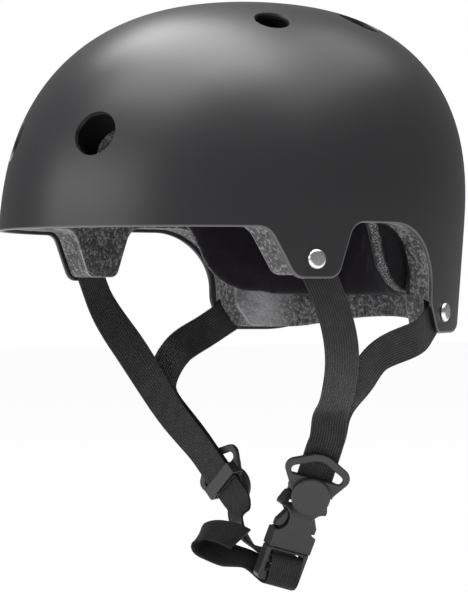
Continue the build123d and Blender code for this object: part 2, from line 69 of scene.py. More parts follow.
def addCamera():
    turn = math.radians(camera["azimuth"])
    back = Vector((math.sin(turn), -math.cos(turn), 0))
    data = bpy.data.cameras.new("photoCamera")
    data.lens, data.sensor_width, data.shift_x = camera["lens"], camera["sensor"], camera["shiftX"]
    data.clip_start, data.clip_end = camera["clip"]
    holder = bpy.data.objects.new("photoCamera", data)
    holder.location = back * camera["distance"] + Vector((0, 0, camera["height"]))
    holder.rotation_euler = (-back).to_track_quat("-Z", "Y").to_euler()
    scene.collection.objects.link(holder)
    scene.camera = holder


def addSoftbox(name, place, size, power):
    data = bpy.data.lights.new(name, "AREA")
    data.shape, data.energy = "RECTANGLE", power
    data.size, data.size_y = size
    lamp = bpy.data.objects.new(name, data)
    lamp.location = place
    lamp.rotation_euler = (Vector(studio["aim"]) - lamp.location).to_track_quat("-Z", "Y").to_euler()
    scene.collection.objects.link(lamp)


addCamera()
for lampName, (place, size, power) in studio["lamps"].items():
    addSoftbox(lampName, place, size, power)
print("camera and lamps are in")

# the dome that shell and liner share: it leans back as it rises
dome = {"halfWidth": 116, "halfLength": 138, "height": 127, "power": 2.45, "lean": 0.095}


# a socket that can be reckoned with as a number
class Wire:
    def __init__(self, board, socket):
        self.board, self.socket = board, socket

    def __add__(self, other): return self.board.maths("ADD", self, other)
    def __radd__(self, other): return self.board.maths("ADD", other, self)
    def __sub__(self, other): return self.board.maths("SUBTRACT", self, other)
    def __rsub__(self, other): return self.board.maths("SUBTRACT", other, self)
    def __mul__(self, other): return self.board.maths("MULTIPLY", self, other)
    def __rmul__(self, other): return self.board.maths("MULTIPLY", other, self)
    def __truediv__(self, other): return self.board.maths("DIVIDE", self, other)
    def __rtruediv__(self, other): return self.board.maths("DIVIDE", other, self)
    def __abs__(self): return self.board.maths("ABSOLUTE", self)
    def above(self, level): return self.board.maths("GREATER_THAN", self, level)
    def below(self, level): return self.board.maths("LESS_THAN", self, level)
    def fraction(self): return self.board.maths("FRACT", self)
    def pingpong(self, size): return self.board.maths("PINGPONG", self, size)
    def least(self, other): return self.board.maths("MINIMUM", self, other)


# the nodes of one material, or of the world
class Board:
    def __init__(self, name, kind="materials", shader="Principled BSDF"):
        self.owner = getattr(bpy.data, kind).new(name)
        self.owner.use_nodes = True
        self.tree = self.owner.node_tree
        self.shader = self.tree.nodes[shader]

    def put(self, socket, value):
        if isinstance(value, Wire):
            self.tree.links.new(value.socket, socket)
        elif socket.type == "RGBA":
            socket.default_value = (*value[:3], 1)
        else:
            socket.default_value = value

    def node(self, kind, settings=None, inputs=None, out=0):
        made = self.tree.nodes.new(kind)
        for key, value in (settings or {}).items():
            if key == "stops":
                ramp = made.color_ramp.elements
                while len(ramp) < len(value):
                    ramp.new(0.5)
                for stop, (place, colour) in zip(ramp, value):
                    stop.position, stop.color = place, (*colour, 1)
            else:
                setattr(made, key, value)
        for key, value in (inputs or {}).items():
            self.put(made.inputs[key], value)
        return Wire(self, made.outputs[out])

    def maths(self, operation, *terms):
        return self.node("ShaderNodeMath", {"operation": operation}, dict(enumerate(terms)))

    def place(self):
        return self.node("ShaderNodeTexCoord", out="Object")

    def painted(self, attribute):
        return self.node("ShaderNodeAttribute", {"attribute_name": attribute}, out="Fac")

    def split(self, vector):
        parts = self.node("ShaderNodeSeparateXYZ", {}, {0: vector})
        return [Wire(self, part) for part in parts.socket.node.outputs]

    def noise(self, scale, detail=2, rough=0.5, vector=None):
        inputs = {"Vector": vector or self.place(), "Scale": scale, "Detail": detail, "Roughness": rough}
        return self.node("ShaderNodeTexNoise", {}, inputs, out="Fac")

    def cells(self, scale, feature="F1", out="Distance", vector=None):
        return self.node("ShaderNodeTexVoronoi", {"feature": feature}, {
            "Vector": vector or self.place(), "Scale": scale}, out=out)

    def ramp(self, value, stops):
        return self.node("ShaderNodeValToRGB", {"stops": stops}, {"Fac": value})

    def mix(self, share, first, second, blend="MIX"):
        return self.node("ShaderNodeMix", {"data_type": "RGBA", "blend_type": blend},
                         {0: share, 6: first, 7: second}, out=2)

    def bump(self, height, strength, depth, under=None):
        inputs = {"Height": height, "Strength": strength, "Distance": depth}
        if under:
            inputs["Normal"] = under
        return self.node("ShaderNodeBump", {}, inputs)

    def finish(self, **values):
        names = {"color": "Base Color", "roughness": "Roughness", "metal": "Metallic", "normal": "Normal",
                 "sheen": "Sheen Weight", "sheenRough": "Sheen Roughness",
                 "specular": "Specular IOR Level"}
        for key, value in values.items():
            self.put(self.shader.inputs[names[key]], value)
        return self.owner


# satin plastic skin, with a painted highlight along the turned lip at its rim; a bump is given as strength
# and depth in metres
shellLook = {
    "dark": (0.0165, 0.0158, 0.0175), "light": (0.0205, 0.0195, 0.0215), "haze": 9, "handling": 38,
    # the lip keys paint a highlight along the turned lip at the rim
    "lipHighlightTone": (0.12, 0.12, 0.125), "lipShare": 0.8, "roughness": 0.36, "handled": 0.05, "lipGloss": 0.08,
    "specular": 0.5, "grain": 2600, "grainBump": (0.06, 0.0002),
}


def shellMaterial():
    b, look = Board("satinShell"), shellLook
    # painted highlight: lighter and glossier where the attribute "rim" marks the lip
    lip = b.painted("rim")
    tone = b.mix(b.noise(look["haze"], 3), look["dark"], look["light"])
    tone = b.mix(lip * look["lipShare"], tone, look["lipHighlightTone"])
    handled = b.noise(look["handling"], 4, 0.6) * look["handled"]
    return b.finish(color=tone, roughness=look["roughness"] + handled - lip * look["lipGloss"],
                    specular=look["specular"], normal=b.bump(b.noise(look["grain"], 1), *look["grainBump"]))


# moulded bead foam: cells for the beads, dark seams between them, a painted highlight along the rim's
# rounded edges, and painted shade on the inner half of the left ear arch's cut face
foamLook = {
    "beads": 640, "blotches": 70, "flecks": 1100, "mixture": (0.3, 0.3, 0.4),
    "tones": [(0.34, (0.03, 0.03, 0.032)), (0.5, (0.082, 0.082, 0.085)), (0.63, (0.24, 0.24, 0.245))],
    "seams": [(0.0, (0.35, 0.35, 0.35)), (0.09, (1, 1, 1))],
    # the edge keys paint a highlight along the rounded edges of the rim
    "edgeHighlightTone": (0.42, 0.42, 0.43), "edgeBlotch": 1.5, "edgeMost": 0.8,
    "roughness": 0.62, "uneven": 0.2, "specular": 0.45,
    "beadBump": (0.6, 0.0006), "fleckBump": (0.25, 0.0004),
    # the shaded inner half of the left ear arch's cut face: its places are in metres
    "shadeTone": (0.002, 0.002, 0.002), "shadeHalfWidth": 0.1132, "shadeHalfLength": 0.1352,
    "shadeReach": 0.755, "shadeUneven": 0.03, "shadeSide": 0.05, "shadeFront": -0.008, "shadeBack": 0.08,
    "shadeFoot": -0.037, "shadeTop": 0.004,
}


def foamMaterial():
    b, look = Board("beadFoam"), foamLook
    place = b.place()
    bead = b.cells(look["beads"], vector=place)
    seam = b.cells(look["beads"], "DISTANCE_TO_EDGE", vector=place)
    beadTone = b.split(b.cells(look["beads"], out="Color", vector=place))[0]
    blotch = b.noise(look["blotches"], 3)
    fleck = b.noise(look["flecks"], 2)
    ofBead, ofBlotch, ofFleck = look["mixture"]
    tone = b.ramp(beadTone * ofBead + blotch * ofBlotch + fleck * ofFleck, look["tones"])
    tone = b.mix(1.0, tone, b.ramp(seam, look["seams"]), "MULTIPLY")
    # painted highlight along the rim's rounded edges, where the attribute "edge" marks them
    paintedEdgeHighlight = (b.painted("edge") * (blotch * look["edgeBlotch"])).least(look["edgeMost"])
    tone = b.mix(paintedEdgeHighlight, tone, look["edgeHighlightTone"])
    x, y, z = b.split(place)
    wide, long = x / look["shadeHalfWidth"], (y - z * dome["lean"]) / look["shadeHalfLength"]
    reach = wide * wide + long * long + (blotch - 0.5) * look["shadeUneven"]
    shade = reach.below(look["shadeReach"]) * x.above(look["shadeSide"])
    shade = shade * y.above(look["shadeFront"]) * y.below(look["shadeBack"])
    shade = shade * z.above(look["shadeFoot"]) * z.below(look["shadeTop"])
    tone = b.mix(shade, tone, look["shadeTone"])
    domed = b.bump(1 - bead, *look["beadBump"])
    return b.finish(color=tone, roughness=look["roughness"] + beadTone * look["uneven"],
                    specular=look["specular"], normal=b.bump(fleck, *look["fleckBump"], domed))


# the same foam inside the vents, where no light comes
ventFoamLook = {
    "finish": {"color": (0.004, 0.004, 0.0045), "roughness": 0.9, "specular": 0.1},
    "grain": 900, "grainBump": (0.3, 0.0004),
}


def ventFoamMaterial():
    b, look = Board("shadedFoam"), ventFoamLook
    return b.finish(**look["finish"], normal=b.bump(b.noise(look["grain"]), *look["grainBump"]))


# brushed pad cover, and the speckled foam that shows where the cover stops
padLook = {
    "dark": (0.0055, 0.0045, 0.0065), "light": (0.0145, 0.0115, 0.0165),
    "knit": 1900, "knitBump": (0.5, 0.0003), "fluff": 240, "fluffBump": (0.35, 0.0008), "specks": 1500,
    "bareTones": [(0.38, (0.02, 0.02, 0.021)), (0.52, (0.1, 0.1, 0.102)), (0.68, (0.36, 0.36, 0.36))],
    "finish": {"roughness": 0.93, "sheen": 0.12, "sheenRough": 0.5, "specular": 0.12},
}


def padMaterial(name):
    b, look = Board(name), padLook
    place = b.place()
    knit = b.noise(look["knit"], 2, vector=place)
    fluff = b.noise(look["fluff"], 4, 0.65, vector=place)
    speck = b.ramp(b.noise(look["specks"], 2, vector=place), look["bareTones"])
    tone = b.mix(b.painted("bare"), b.mix(fluff, look["dark"], look["light"]), speck)
    coarse = b.bump(fluff, *look["fluffBump"])
    return b.finish(color=tone, **look["finish"], normal=b.bump(knit, *look["knitBump"], coarse))


# woven strap: its UV map runs along and across it in centimetres, with a rib every 1.4 mm
weaveLook = {
    "ribs": 7, "threads": 8.5, "glint": 0.8, "wear": 160, "worn": 0.35, "bump": (0.8, 0.0004),
    "tones": [(0.2, (0.004, 0.004, 0.0045)), (0.55, (0.02, 0.02, 0.0215)), (0.95, (0.12, 0.12, 0.125))],
    "finish": {"roughness": 0.6, "sheen": 0.08, "sheenRough": 0.4, "specular": 0.3},
}


def webbingMaterial():
    b, look = Board("blackWebbing"), weaveLook
    along, across = b.split(b.node("ShaderNodeUVMap", {"uv_map": "weave"}))[:2]
    chevron = across.pingpong(0.5 / look["ribs"]) * (look["ribs"] * 2)
    thread = abs((along * look["threads"] + chevron).fraction() - 0.5) * 2
    valley = (across * look["ribs"]).pingpong(0.5) * 2
    worn = b.noise(look["wear"], 3) * look["worn"]
    # the rib and twill pattern is the weave's own; its raised threads are lighter as a painted glint, with
    # random wear over them
    tone = b.ramp(thread * valley * look["glint"] + worn, look["tones"])
    return b.finish(color=tone, **look["finish"], normal=b.bump(thread * 0.5 + valley * 0.5, *look["bump"]))


# moulded parts and fittings; the colours of each are in the list of finishes
plasticLook = {"cloud": 45, "cloudy": 0.1, "specular": 0.5, "grain": 1700, "grainBump": (0.25, 0.00012)}
metalLook = {"smear": 700, "smearShade": 0.86, "smeared": 0.12, "smearBump": (0.08, 0.0002)}


def plasticMaterial(name, dark, light, rough):
    b, look = Board(name), plasticLook
    place = b.place()
    grain = b.noise(look["grain"], vector=place)
    cloud = b.noise(look["cloud"], 3, vector=place)
    return b.finish(color=b.mix(cloud, dark, light), roughness=rough + cloud * look["cloudy"],
                    specular=look["specular"], normal=b.bump(grain, *look["grainBump"]))


def metalMaterial(name, colour, rough):
    b, look = Board(name), metalLook
    smear = b.noise(look["smear"], 3)
    tone = b.mix(smear, tuple(c * look["smearShade"] for c in colour), colour)
    return b.finish(color=tone, roughness=rough + smear * look["smeared"], metal=1.0,
                    normal=b.bump(smear, *look["smearBump"]))


finishes = {
    "shell": shellMaterial(),
    "foam": foamMaterial(),
    "ventFoam": ventFoamMaterial(),
    "pad": padMaterial("padFabric"),
    "webbing": webbingMaterial(),
    "divider": plasticMaterial("dividerPlastic", (0.024, 0.024, 0.025), (0.032, 0.032, 0.033), 0.32),
    "cap": plasticMaterial("capPlastic", (0.03, 0.028, 0.03), (0.038, 0.036, 0.038), 0.42),
    "buckle": plasticMaterial("bucklePlastic", (0.018, 0.018, 0.019), (0.025, 0.025, 0.026), 0.24),
    "rivet": metalMaterial("brightRivet", (0.78, 0.78, 0.77), 0.2),
    "washer": metalMaterial("zincWasher", (0.5, 0.5, 0.5), 0.4),
    "hook": padMaterial("hookTape"),
}
print("materials are mixed")

rim = {
    # side view, front to back: (y, z, corner radius, where the wall above the corner is met)
    "corners": [(-160, -2.5, 0, -160), (-55.5, -2.5, 9, -58), (-42, -29, 8, -43), (-17, -29, 8, -20),
                (-6.5, 0.5, 9, -8), (56, 0.5, 34, 48), (56, -43, 20, 66), (64.5, -58.5, 6, 76),
                (90, -58.5, 40, 96), (134, -46, 0, 130), (170, -46, 0, 170)],
    "step": 1.6, "frontEdge": -70, "rearEdge": 97, "rearHeight": -50, "frontColumns": 34, "rearColumns": 30,
    "joinHeight": 24, "fanRows": (0.012, 0.04, 0.09, 0.16, 0.25, 0.36, 0.48, 0.6, 0.72, 0.84, 0.93),
    # the last key counts the rim's rings that carry the shell's painted lip highlight
    "domeRows": 34, "lipShares": (0.2, 0.45, 0.75, 1), "highlightLipRings": 3,
}


def spreadAt(z, height):
    return (1 - (max(z, 0) / height) ** dome["power"]) ** (1 / dome["power"])


def domePoint(bearing, z, sideInset=0, crownInset=0):
    s = spreadAt(z, dome["height"] - crownInset)
    return Vector(((dome["halfWidth"] - sideInset) * s * math.cos(bearing),
                   (dome["halfLength"] - sideInset) * s * math.sin(bearing) + dome["lean"] * z, z))


def domeNormal(bearing, z, sideInset=0, crownInset=0):
    height, n = dome["height"] - crownInset, dome["power"]
    s = spreadAt(z, height) ** (n - 1)
    outX = s * math.cos(bearing) / (dome["halfWidth"] - sideInset)
    outY = s * math.sin(bearing) / (dome["halfLength"] - sideInset)
    outZ = (max(z, 0) / height) ** (n - 1) / height - dome["lean"] * outY
    return Vector((outX, outY, outZ)).normalized()


def bearingOf(point, sideInset=0):
    return math.atan2((point[1] - dome["lean"] * point[2]) / (dome["halfLength"] - sideInset),
                      point[0] / (dome["halfWidth"] - sideInset))


# the rim in side view, rounded at its corners and set back by a depth, and where the wall above it is met
def roundedOutline(corners, setback):
    points, marks = [], []
    for i, (y, z, radius, met) in enumerate(corners):
        here = Vector((y, z))
        if not radius:
            marks.append((len(points), met))
            points.append(here)
            continue
        before = (Vector(corners[i - 1][:2]) - here).normalized()
        after = (Vector(corners[i + 1][:2]) - here).normalized()
        half = before.angle(after) / 2
        reach = radius / math.tan(half)
        centre = here + (before + after).normalized() * radius / math.sin(half)
        start, end = here + before * reach - centre, here + after * reach - centre
        turn = start.angle_signed(end)
        steps = max(3, round(abs(turn) * radius / rim["step"]))
        marks.append((len(points) + steps // 2, met))
        for k in range(steps + 1):
            a = -turn * k / steps
            points.append(centre + Vector((start.x * math.cos(a) - start.y * math.sin(a),
                                           start.x * math.sin(a) + start.y * math.cos(a))))
    dense, met = [points[0]], {0: marks[0][1]}
    markAt = dict(marks)
    for i in range(1, len(points)):
        gap = points[i] - dense[-1]
        steps = max(1, round(gap.length / rim["step"]))
        base = dense[-1]
        for k in range(1, steps + 1):
            dense.append(base + gap * k / steps)
        if i in markAt:
            met[len(dense) - 1] = markAt[i]
    moved = []
    for i, p in enumerate(dense):
        ahead = dense[min(i + 1, len(dense) - 1)] - dense[max(i - 1, 0)]
        up = Vector((-ahead.y, ahead.x)).normalized()
        moved.append(p + up * setback)
    keys = sorted(met)
    meets = []
    for i in range(len(moved)):
        low = max(k for k in keys if k <= i)
        high = min(k for k in keys if k >= i)
        share = 0 if high == low else (i - low) / (high - low)
        meets.append(met[low] + (met[high] - met[low]) * share)
    return moved, meets


def heightOnOutline(outline, y):
    for a, b in zip(outline, outline[1:]):
        if a.x <= y <= b.x:
            return a.y + (b.y - a.y) * (y - a.x) / max(b.x - a.x, 1e-6)
    return outline[0].y if y < outline[0].x else outline[-1].y


# columns of one side from front to back: bearing and height at the rim, bearing where the dome's rows begin
def rimColumns(setback, sideInset, crownInset):
    outline, meets = roundedOutline(rim["corners"], setback)
    first = next(i for i, p in enumerate(outline) if p.x > rim["frontEdge"])
    last = max(i for i, p in enumerate(outline) if p.x < rim["rearEdge"])
    length = dome["halfLength"] - sideInset
    join = rim["joinHeight"]
    joinSpread = spreadAt(join, dome["height"] - crownInset)
    quarter = math.pi / 2

    def joinBearing(y):
        return math.asin(max(-1, min(1, (y - dome["lean"] * join) / (length * joinSpread))))

    def rimBearing(point):
        return math.asin((point[0] - dome["lean"] * point[1]) / length)

    columns = []
    lead, trail = rimBearing(outline[first]), rimBearing(outline[last])
    for i in range(rim["frontColumns"]):
        share = i / rim["frontColumns"]
        bearing = -quarter + (lead + quarter) * share
        z = heightOnOutline(outline, length * math.sin(bearing))
        columns.append((bearing, z, -quarter + (joinBearing(meets[first]) + quarter) * share))
    for i in range(first, last + 1):
        columns.append((rimBearing(outline[i]), outline[i][1], joinBearing(meets[i])))
    joined = joinBearing(meets[last])
    for i in range(1, rim["rearColumns"] + 1):
        share = i / rim["rearColumns"]
        bearing = trail + (quarter - trail) * share
        z = rim["rearHeight"]
        for _ in range(3):                            # the lean moves the place, so the height settles
            z = heightOnOutline(outline, length * math.sin(bearing) + dome["lean"] * z)
        columns.append((bearing, z, joined + (quarter - joined) * share))
    return columns


# rows of one surface from its rim to its crown, and the rim's own places with the way up the wall
def surfaceRows(columns, edge, sideInset, crownInset):
    places = [domePoint(bearing, z, sideInset, crownInset) for bearing, z, joined in columns]
    starts, edges, rows = [], [], []
    last = len(places) - 1
    for i, (bearing, z, joined) in enumerate(columns):
        ahead = places[min(i + 1, last)] - places[max(i - 1, 0)]
        up = domeNormal(bearing, z, sideInset, crownInset).cross(ahead).normalized()
        if i in (0, last):
            up.x = 0
        begin = places[i] + up * edge
        starts.append((bearingOf(begin, sideInset) if i not in (0, last) else bearing, begin.z, joined))
        edges.append((places[i], up))
    height, join = dome["height"] - crownInset, rim["joinHeight"]
    for share in (0, *rim["fanRows"]):
        fan = [(bearing + (joined - bearing) * share, z + (join - z) * share)
               for bearing, z, joined in starts]
        rows.append([domePoint(bearing, z, sideInset, crownInset) for bearing, z in fan])
    startAngle = math.asin((join / height) ** (dome["power"] / 2))
    for k in range(rim["domeRows"]):
        angle = startAngle + (math.pi / 2 - startAngle) * k / rim["domeRows"]
        z = height * math.sin(angle) ** (2 / dome["power"])
        rows.append([domePoint(column[2], z, sideInset, crownInset) for column in columns])
    return edges, rows, domePoint(0, height - 1e-6, sideInset, crownInset)


def mirrored(ring):
    return ring + [Vector((-p.x, p.y, p.z)) for p in reversed(ring[1:-1])]


def cornerPoint(start, corner, end, share):
    return start * (1 - share) ** 2 + corner * 2 * share * (1 - share) + end * share ** 2


# the rings round the rim's cut face: its outer edge rounded, the face, its inner edge rounded
def lipRings(outerEdge, innerEdge, roundness, faceRings):
    pairs = [(place, up, inner, innerUp, (inner - place).normalized() * roundness)
             for (place, up), (inner, innerUp) in zip(outerEdge, innerEdge)]
    rings = []
    for share in rim["lipShares"]:
        rings.append([cornerPoint(place + up * roundness, place, place + across, share)
                      for place, up, inner, innerUp, across in pairs])
    for share in faceRings:
        rings.append([(place + across) * (1 - share) + (inner - across) * share
                      for place, up, inner, innerUp, across in pairs])
    for share in reversed(rim["lipShares"]):
        rings.append([cornerPoint(inner + innerUp * roundness, inner, inner - across, share)
                      for place, up, inner, innerUp, across in pairs])
    return rings


def curvedWall(name, setback, outer, inner, roundness, faceRings=()):
    outerEdge, outerRows, outerTop = surfaceRows(rimColumns(setback, *outer), roundness, *outer)
    innerEdge, innerRows, innerTop = surfaceRows(rimColumns(setback, *inner), roundness, *inner)
    lip = lipRings(outerEdge, innerEdge, roundness, faceRings)
    mesh = bmesh.new()
    lipHighlightLayer = mesh.verts.layers.float.new("rim")
    rings = (*reversed(outerRows), *lip, *innerRows)
    grid = [[mesh.verts.new(p * mm) for p in mirrored(ring)] for ring in rings]
    # the outer rim's rings are marked for the shell's painted lip highlight
    for ring in grid[len(outerRows) - 1:len(outerRows) + rim["highlightLipRings"]]:
        for v in ring:
            v[lipHighlightLayer] = 1
    top, under = mesh.verts.new(outerTop * mm), mesh.verts.new(innerTop * mm)
    count = len(grid[0])
    for a, b in zip(grid, grid[1:]):
        for i in range(count):
            mesh.faces.new((a[i], b[i], b[(i + 1) % count], a[(i + 1) % count]))
    for i in range(count):
        mesh.faces.new((top, grid[0][i], grid[0][(i + 1) % count]))
        mesh.faces.new((under, grid[-1][(i + 1) % count], grid[-1][i]))
    bmesh.ops.recalc_face_normals(mesh, faces=mesh.faces)
    return keepMesh(name, mesh)


def keepMesh(name, mesh):
    data = bpy.data.meshes.new(name)
    mesh.to_mesh(data)
    mesh.free()
    made = bpy.data.objects.new(name, data)
    scene.collection.objects.link(made)
    return made


def pickOnly(piece):
    bpy.ops.object.select_all(action="DESELECT")
    piece.select_set(True)
    bpy.context.view_layer.objects.active = piece


def shapeWith(piece, kind, **settings):
    pickOnly(piece)
    made = piece.modifiers.new(kind.lower(), kind)
    for key, value in settings.items():
        setattr(made, key, value)
    bpy.ops.object.modifier_apply(modifier=made.name)


def dress(piece, material, angle):
    piece.data.materials.clear()
    piece.data.materials.append(material)
    pickOnly(piece)
    bpy.ops.object.shade_smooth_by_angle(angle=math.radians(angle))
    piece.select_set(False)


def cutAway(piece, cutters):
    bpy.ops.object.select_all(action="DESELECT")
    for cutter in cutters:
        cutter.select_set(True)
    bpy.context.view_layer.objects.active = cutters[0]
    if len(cutters) > 1:
        bpy.ops.object.join()
    tool = bpy.context.view_layer.objects.active
    shapeWith(piece, "BOOLEAN", operation="DIFFERENCE", object=tool, solver="EXACT")
    bpy.data.objects.remove(tool)
    piece.select_set(False)


def lathe(name, profile, place, axis, steps):
    mesh = bmesh.new()
    side = axis.orthogonal().normalized()
    other = axis.cross(side).normalized()
    turns = [math.tau * k / steps for k in range(steps)]
    rings = []
    for radius, height in profile:
        rings.append([mesh.verts.new((place + (side * math.cos(a) + other * math.sin(a)) * radius
                                      + axis * height) * mm) for a in turns])
    for a, b in zip(rings, rings[1:]):
        for k in range(steps):
            mesh.faces.new((a[k], a[(k + 1) % steps], b[(k + 1) % steps], b[k]))
    mesh.faces.new(list(reversed(rings[0])))
    mesh.faces.new(rings[-1])
    bmesh.ops.recalc_face_normals(mesh, faces=mesh.faces)
    return keepMesh(name, mesh)


vents = {
    # bore, bearing in degrees, height as a share of the dome's
    "pairs": [(24, -69, 0.37), (18.5, -23, 0.87), (25, 28, 0.905), (24, 67, 0.42)],
    "lip": 1.5, "lipDepth": 1.95, "lipSteps": 5, "flare": 3.3, "flareRise": 1.2,
    "linerRise": 6, "toolDepth": -44, "toolSteps": 64, "shadeSpare": 0.6, "shadeDepth": -30,
}


def ventFrames():
    frames = []
    for bore, bearing, share in vents["pairs"]:
        for turn in (bearing, 180 - bearing):
            spot = math.radians(turn), dome["height"] * share
            frames.append((bore / 2, domePoint(*spot), domeNormal(*spot)))
    return frames


def ventCutters(name, withLip):
    cutters = []
    lip, deep = vents["lip"], vents["lipDepth"]
    for radius, place, axis in ventFrames():
        profile = [(radius, vents["toolDepth"]), (radius, -deep)]
        if withLip:
            for k in range(1, vents["lipSteps"] + 1):
                a = math.pi / 2 * k / vents["lipSteps"]
                profile.append((radius + lip * (1 - math.cos(a)), -deep + deep * math.sin(a)))
            profile.append((radius + vents["flare"], vents["flareRise"]))
        else:
            profile.append((radius, vents["linerRise"]))
        cutters.append(lathe(name, profile, place, axis, vents["toolSteps"]))
    return cutters


wall = {
    "shell": 2.5, "shellRound": 0.8, "shellAngle": 33,
    "linerGap": 0.3, "linerSide": 22, "linerCrown": 26, "linerSetback": 2, "linerRound": 1.7,
    "linerFaceRings": (0.2, 0.5, 0.78), "linerAngle": 35,
}

shell = curvedWall("shellWall", 0, (0, 0), (wall["shell"], wall["shell"]), wall["shellRound"])
cutAway(shell, ventCutters("ventTool", True))
dress(shell, finishes["shell"], wall["shellAngle"])
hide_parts("outer_shell")
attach(shell, "helmet")
print("shell is formed")

webbing = {
    "width": 20, "thickness": 1.6, "seat": 0.7, "seatLengths": (-9, 0, 8, 16, 22), "straight": 26,
    "straightShares": (1, 0.88, 0.76, 0.6, 0.3, 0), "chinLengths": (0, 6, 12),
    "frontRivet": (-12.0, -18.9), "rearRivet": (33.3, -46.8),       # bearing and height
    "frontLead": (0, 0.45, -0.89), "rearLead": (0, -0.88, -0.47),   # the way each strap leaves its rivet
    "step": 2.5, "foldStep": 1.2, "tailStep": 1.6, "chinStep": 2, "weaveUnit": 10, "smoothAngle": 40,
    # section: flat, with a slightly thicker selvedge and rounded edges
    "acrossShares": (-0.86, -0.6, -0.3, 0, 0.3, 0.6, 0.86), "middleShare": 0.93, "selvedge": 0.8,
    "edgeShares": ((0.96, 0.85), (1, 0), (0.96, -0.85)),
    "rivetHole": 2.2, "rivetHoleDepth": 12, "rivetHoleSteps": 24,
}
dividers = {
    "left": {"place": (48, 16.5, -148), "face": (0.82, -0.52, -0.24), "up": (0.342, 0.11, 0.932)},
    "right": {"place": (-28, 18, -148), "face": (-0.2, 0.97, 0.05), "up": (-0.66, -0.17, 0.73)},
    "plate": 3, "gap": 0.4, "sleeveFoot": 0.5,
}
routes = {
    "leftFront": [(104.3, -6.2, -68), (89.6, 4.1, -85), (72.4, 14.2, -97.3), (60, 20.4, -106.8),
                  (57.4, 21.4, -115.2)],
    "leftRear": [(95, 26, -71), (85.8, 21.1, -84), (69.4, 21.7, -96.5), (58.4, 23.5, -107.3),
                 (56, 23, -115.6)],
    "rightFront": [(-103.3, -4.3, -68), (-84.9, 0.5, -90), (-66.1, 2.6, -108), (-55.5, 5.3, -118)],
    "rightRear": [(-95, 26, -71), (-82.5, 6.8, -95), (-67.4, 5.6, -108), (-56, 8, -117.8)],
    "chin": [(-15.5, 14, -166), (-4, 12, -175), (10, 10, -181.5)],
    # place, and the way the webbing's face looks
    "tail": [((8.3, 6.3, -187.8), (-0.3, 0.1, -0.9)), ((-4, -1.5, -184.8), (-0.32, 0.4, -0.83)),
             ((-13, -8.6, -181.3), (-0.5, 0.2, -0.8)), ((-17.5, -13.5, -176.5), (-0.8, -0.58, 0.1)),
             ((-14.5, -12, -172), (0.1, -0.45, 0.88)), ((-6, -7, -170.8), (0.25, -0.4, 0.87)),
             ((3, -4.6, -172.3), (0.3, -0.4, 0.85)), ((8.4, -2.3, -174.5), (0.3, -0.4, 0.85))],
}
buckle = {
    "axis": (0.258, 0.232, 0.937), "across": (0.12, 0.955, -0.27), "behind": 11, "below": 3, "length": 33,
    "neck": 6, "bar": 3, "plug": 7, "firstSlot": 6, "slot": 4.6, "plugLength": 19.2, "topBar": 1.6,
    "cadLength": 24,
}


def rivetFrame(which, side):
    bearing, z = webbing[which + "Rivet"]
    turn = math.radians(bearing if side > 0 else 180 - bearing)
    return domePoint(turn, z), domeNormal(turn, z)


def strapRun(which, out):
    lead = Vector(webbing[which + "Lead"])
    return (lead - out * lead.dot(out)).normalized()


# a station is a place and the way the webbing's face looks there
def seatStations(which, side):
    place, out = rivetFrame(which, side)
    run = strapRun(which, out)
    depth = wall["shell"] + webbing["seat"] + webbing["thickness"] / 2
    stations = []
    for length in webbing["seatLengths"]:
        spot = place + run * length
        bearing = bearingOf(spot)
        normal = domeNormal(bearing, spot.z)
        stations.append((domePoint(bearing, spot.z) - normal * depth, normal))
    return stations


def dividerFrame(hand):
    place = Vector(dividers[hand]["place"])
    face, up = Vector(dividers[hand]["face"]).normalized(), Vector(dividers[hand]["up"]).normalized()
    return place, face, (up - face * up.dot(face)).normalized()


def layerDepth(layer):
    t, gap = webbing["thickness"], dividers["gap"]
    return dividers["plate"] / 2 + gap + t / 2 + layer * (t + gap)


def strapStations(which, hand, layer):
    stations = seatStations(which, 1 if hand == "left" else -1)
    place, face, up = dividerFrame(hand)
    start = stations[-1][1]
    route = routes[hand + which.capitalize()]
    for i, spot in enumerate(route):
        share = math.sqrt((i + 1) / (len(route) + 1))
        stations.append((Vector(spot), start * (1 - share) + face * share))
    foot = place - face * layerDepth(layer) + up * dividers["sleeveFoot"]
    for share in webbing["straightShares"]:
        stations.append((foot + up * webbing["straight"] * share, face))
    return stations


def buckleFrame():
    up = Vector(buckle["axis"]).normalized()
    across = Vector(buckle["across"])
    across = (across - up * across.dot(up)).normalized()
    place, face = dividerFrame("left")[:2]
    mouth = place - face * buckle["behind"] - up * (buckle["below"] + buckle["length"])
    return mouth, across, up, across.cross(up)


